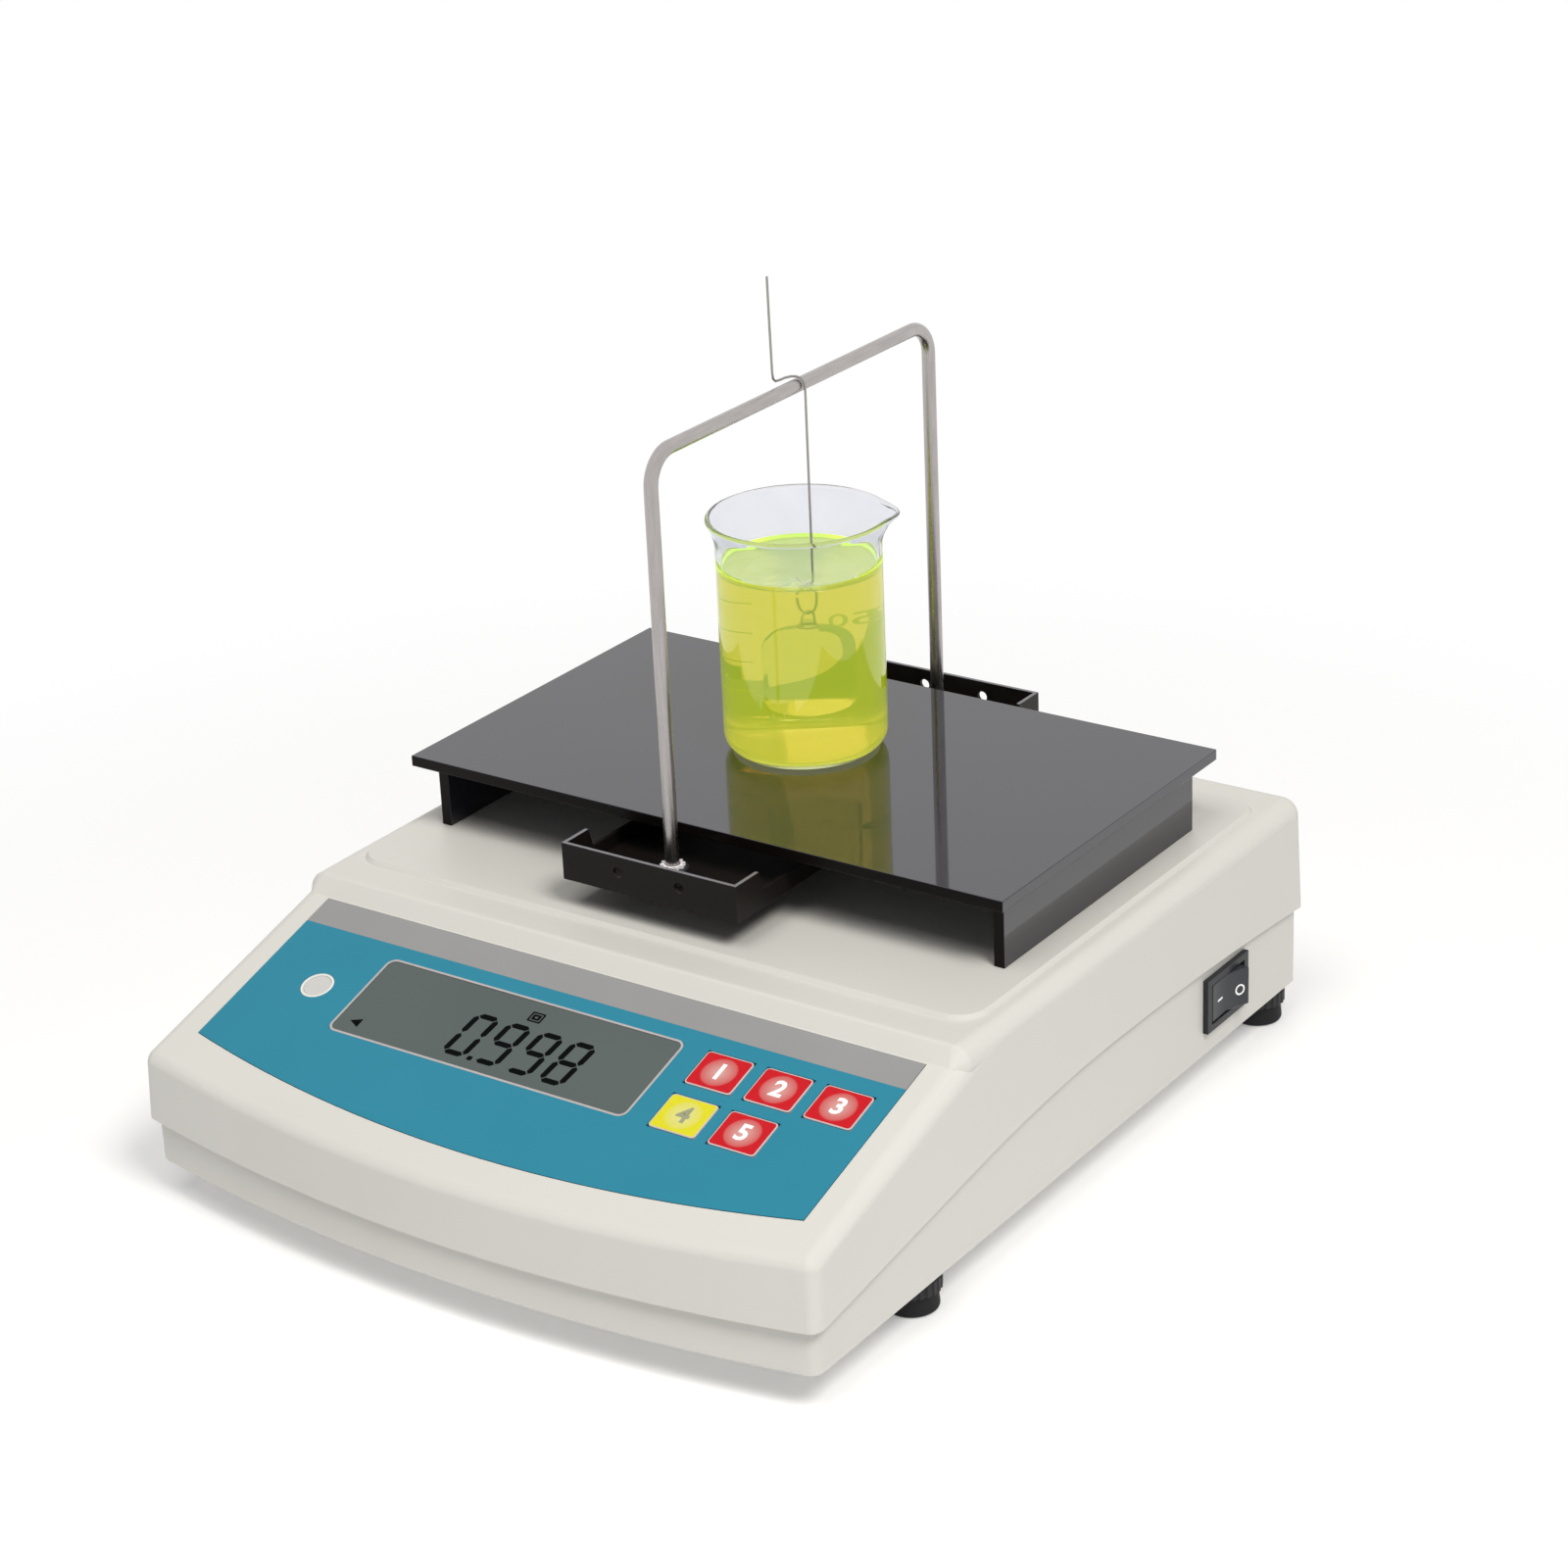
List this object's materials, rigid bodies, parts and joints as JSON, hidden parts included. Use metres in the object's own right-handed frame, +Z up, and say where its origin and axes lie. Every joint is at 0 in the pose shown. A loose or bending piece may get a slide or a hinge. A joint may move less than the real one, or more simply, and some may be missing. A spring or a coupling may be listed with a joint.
{
  "type": "benchtop density meter",
  "caption": "Benchtop density meter: sloping control panel, weighing tray with hanging frame, glass sinker on a wire in a beaker that stands on a table over the tray",
  "frame": {"origin": "centre of the housing's footprint, on the bench surface", "axes": "+X to the right seen from the front, +Y to the rear, away from the control panel, +Z up"},
  "size_m": [0.2011, 0.2391, 0.2102],
  "materials": {
    "abs_housing": "off-white moulded ABS, fine spark texture",
    "overlay_print": "blue printed polyester overlay, fine satin",
    "display_glass": "clear acrylic window over a grey-green display",
    "display_body": "reflective liquid crystal display in its frame",
    "board": "green solder mask on glass-fibre board",
    "membrane": "printed polyester contact sheet",
    "dome": "snap dome, bright spring steel",
    "key_red": "red key face, satin",
    "key_yellow": "yellow key face, satin",
    "level_white": "white level cup, glossy",
    "level_clear": "clear level vial filled with liquid",
    "zinc_plate": "zinc-plated steel plate",
    "alloy": "machined aluminium, fine tool marks",
    "screw_steel": "zinc-plated steel screws and nuts",
    "tray_black": "satin black powder coat on folded sheet",
    "rod_steel": "satin stainless rod, drawn lines along its length",
    "ring_white": "white nylon ring",
    "boss_black": "black nylon boss, satin",
    "wire_steel": "thin stainless wire, satin",
    "sinker_glass": "clear solid glass, polished",
    "beaker_glass": "clear borosilicate glass, polished",
    "table_acrylic": "black acrylic sheet, mirror-smooth",
    "switch_black": "black polyamide, satin",
    "paddle_grey": "dark grey rocker, smooth",
    "inlet_black": "black moulded socket",
    "foot_black": "black rubbery foot pads, matt",
    "wheel_black": "black moulded thumbwheel, fine flutes",
    "insert_brass": "turned brass inserts",
    "lead_red": "red insulated leads",
    "cable_cream": "cream cable sheath"
  },
  "bodies": {
    "case": {"top_cover": "abs_housing", "bottom_case": "abs_housing", "panel_overlay": "overlay_print", "display_window": "display_glass", "lcd_module": "display_body", "main_board": "board", "board_screws": "screw_steel", "keypad_membrane": "membrane", "key_dome_1": "dome", "key_dome_2": "dome", "key_dome_3": "dome", "key_dome_4": "dome", "key_dome_5": "dome", "level_cup": "level_white", "level_vial": "level_clear", "base_plate": "zinc_plate", "base_screws": "screw_steel", "load_cell": "alloy", "cell_spacer_rear": "alloy", "cell_screws_rear": "screw_steel", "rocker_housing": "switch_black", "dc_inlet": "inlet_black", "dc_inlet_nut": "screw_steel", "dc_inlet_pin": "screw_steel", "foot_inserts": "insert_brass", "case_screws": "screw_steel", "inlet_leads": "lead_red", "load_cell_cable": "cable_cream"},
    "weighing_parts": {"cell_spacer_front": "alloy", "cell_screws_front": "screw_steel", "pan_carrier": "alloy", "pan_screw": "screw_steel", "weighing_tray": "tray_black", "hanging_frame": "rod_steel", "frame_bosses": "boss_black", "frame_rings": "ring_white", "frame_nuts": "screw_steel"},
    "hanger": {"hanger_wire": "wire_steel"},
    "sinker": {"sinker": "sinker_glass", "sinker_loop": "wire_steel"},
    "table": {"table_top": "table_acrylic", "table_leg_left": "table_acrylic", "table_leg_right": "table_acrylic"},
    "beaker": {"beaker": "beaker_glass"},
    "rocker": {"rocker_paddle": "paddle_grey"},
    "key_1": {"key_1": "key_red"},
    "key_2": {"key_2": "key_red"},
    "key_3": {"key_3": "key_red"},
    "key_4": {"key_4": "key_yellow"},
    "key_5": {"key_5": "key_red"},
    "foot_pad_1": {"foot_pad_1": "foot_black"},
    "foot_screw_1": {"foot_screw_1": "wheel_black"},
    "foot_pad_2": {"foot_pad_2": "foot_black"},
    "foot_screw_2": {"foot_screw_2": "wheel_black"},
    "foot_pad_3": {"foot_pad_3": "foot_black"},
    "foot_screw_3": {"foot_screw_3": "wheel_black"},
    "foot_pad_4": {"foot_pad_4": "foot_black"},
    "foot_screw_4": {"foot_screw_4": "wheel_black"}
  },
  "joints": [
    {"name": "key_1_press", "type": "slide", "parent": "case", "child": "key_1", "axis": [0, 0.2907, -0.9568], "range_m": [0, 0.0004], "stiffness_N_per_m": 1500, "springref_m": -0.0004, "deforming": ["key_dome_1"]},
    {"name": "key_2_press", "type": "slide", "parent": "case", "child": "key_2", "axis": [0, 0.2907, -0.9568], "range_m": [0, 0.0004], "stiffness_N_per_m": 1500, "springref_m": -0.0004, "deforming": ["key_dome_2"]},
    {"name": "key_3_press", "type": "slide", "parent": "case", "child": "key_3", "axis": [0, 0.2907, -0.9568], "range_m": [0, 0.0004], "stiffness_N_per_m": 1500, "springref_m": -0.0004, "deforming": ["key_dome_3"]},
    {"name": "key_4_press", "type": "slide", "parent": "case", "child": "key_4", "axis": [0, 0.2907, -0.9568], "range_m": [0, 0.0004], "stiffness_N_per_m": 1500, "springref_m": -0.0004, "deforming": ["key_dome_4"]},
    {"name": "key_5_press", "type": "slide", "parent": "case", "child": "key_5", "axis": [0, 0.2907, -0.9568], "range_m": [0, 0.0004], "stiffness_N_per_m": 1500, "springref_m": -0.0004, "deforming": ["key_dome_5"]},
    {"name": "rocker_tilt", "type": "hinge", "parent": "case", "child": "rocker", "pos_m": [0.0962, 0.0768, 0.02425], "axis": [0, 0, 1], "range_deg": [0, 22]},
    {"name": "weighing_deflection", "type": "slide", "parent": "case", "child": "weighing_parts", "axis": [0, 0, 1], "range_m": [-0.0004, 0], "stiffness_N_per_m": 12000, "springref_m": 0.0004, "deforming": ["load_cell"]},
    {"name": "hanger_lift", "type": "slide", "parent": "weighing_parts", "child": "hanger", "axis": [0, 0, 1], "range_m": [0, 0.05]},
    {"name": "sinker_swing", "type": "hinge", "parent": "hanger", "child": "sinker", "pos_m": [0, 0.0388, 0.1235], "axis": [1, 0, 0], "range_deg": [-4, 4]},
    {"name": "table_slide", "type": "slide", "parent": "case", "child": "table", "axis": [1, 0, 0], "range_m": [-0.0015, 0.006]},
    {"name": "beaker_slide", "type": "slide", "parent": "table", "child": "beaker", "axis": [0, 1, 0], "range_m": [-0.006, 0.001]},
    {"name": "foot_1_extend", "type": "slide", "parent": "case", "child": "foot_pad_1", "axis": [0, 0, -1], "range_m": [0, 0.005]},
    {"name": "foot_1_turn", "type": "hinge", "parent": "foot_pad_1", "child": "foot_screw_1", "pos_m": [-0.0892, -0.0575, 0.007], "axis": [0, 0, -1], "range_deg": [0, 1800]},
    {"name": "foot_2_extend", "type": "slide", "parent": "case", "child": "foot_pad_2", "axis": [0, 0, -1], "range_m": [0, 0.005]},
    {"name": "foot_2_turn", "type": "hinge", "parent": "foot_pad_2", "child": "foot_screw_2", "pos_m": [0.0892, -0.0575, 0.007], "axis": [0, 0, -1], "range_deg": [0, 1800]},
    {"name": "foot_3_extend", "type": "slide", "parent": "case", "child": "foot_pad_3", "axis": [0, 0, -1], "range_m": [0, 0.005]},
    {"name": "foot_3_turn", "type": "hinge", "parent": "foot_pad_3", "child": "foot_screw_3", "pos_m": [-0.0892, 0.111, 0.007], "axis": [0, 0, -1], "range_deg": [0, 1800]},
    {"name": "foot_4_extend", "type": "slide", "parent": "case", "child": "foot_pad_4", "axis": [0, 0, -1], "range_m": [0, 0.005]},
    {"name": "foot_4_turn", "type": "hinge", "parent": "foot_pad_4", "child": "foot_screw_4", "pos_m": [0.0892, 0.111, 0.007], "axis": [0, 0, -1], "range_deg": [0, 1800]}
  ],
  "couplings": [
    {"joint": "foot_1_turn", "follows": "foot_1_extend", "rad_per_m": 6283.2},
    {"joint": "foot_2_turn", "follows": "foot_2_extend", "rad_per_m": 6283.2},
    {"joint": "foot_3_turn", "follows": "foot_3_extend", "rad_per_m": 6283.2},
    {"joint": "foot_4_turn", "follows": "foot_4_extend", "rad_per_m": 6283.2}
  ]
}
